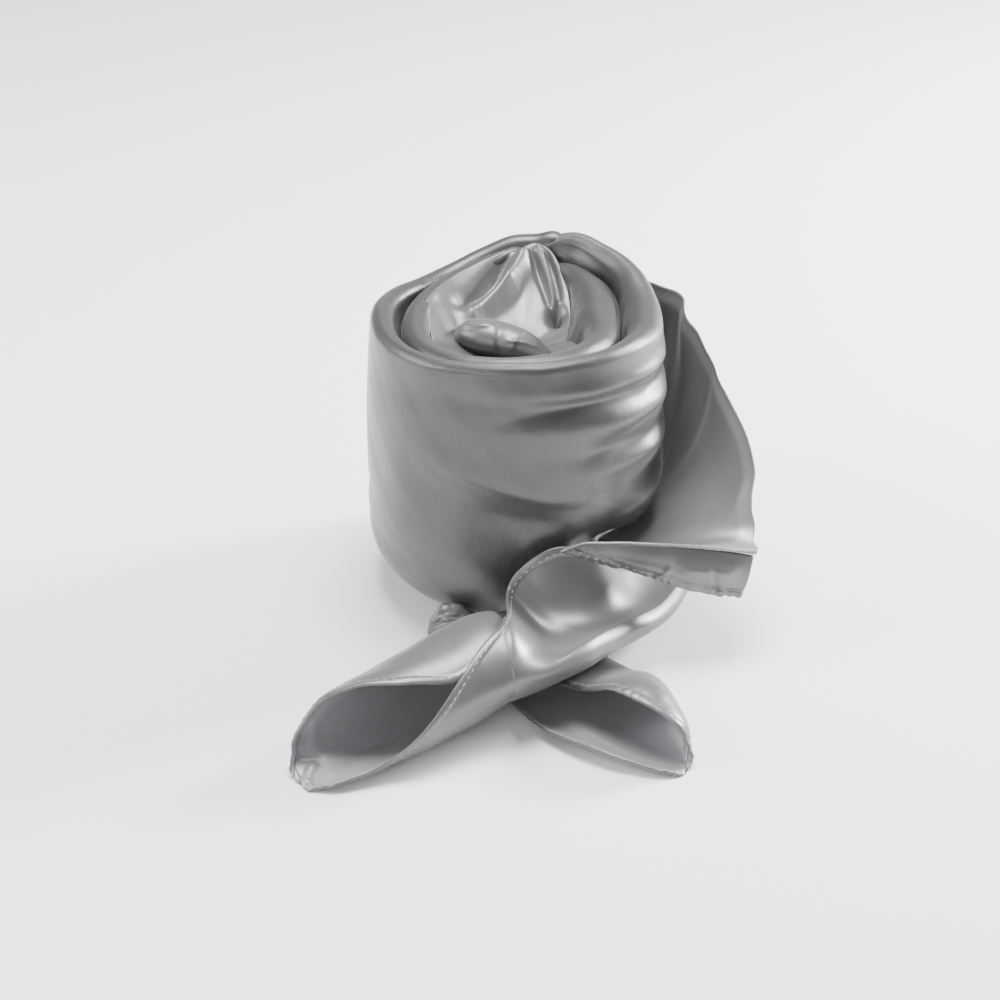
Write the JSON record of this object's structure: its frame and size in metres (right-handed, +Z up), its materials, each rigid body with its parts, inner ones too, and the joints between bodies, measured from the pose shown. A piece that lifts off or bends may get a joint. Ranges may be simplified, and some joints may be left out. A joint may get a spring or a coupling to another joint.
{
  "type": "satin neck scarf wound into a rose",
  "caption": "Satin neck scarf folded to a band and wound into a standing rose with an open petal, its free corners rolled and crossed in front.",
  "frame": {"origin": "centre of the bounding box's underside, on the table the scarf rests on", "axes": "+Z up; -Y towards the crossed corners in front; +X towards the open petal"},
  "size_m": [0.1445, 0.178, 0.105],
  "materials": {
    "satin": "satin, pale silver grey, fine crosswise rib"
  },
  "bodies": {
    "root": {"outer_wrap": "satin", "right_shoulder": "satin", "second_turn": "satin", "inner_lobe": "satin", "heart_folds": "satin", "heart_curl": "satin", "petal": "satin", "flap": "satin", "front_tail": "satin", "rear_tail": "satin", "tucked_end": "satin", "core": "satin"}
  },
  "joints": []
}
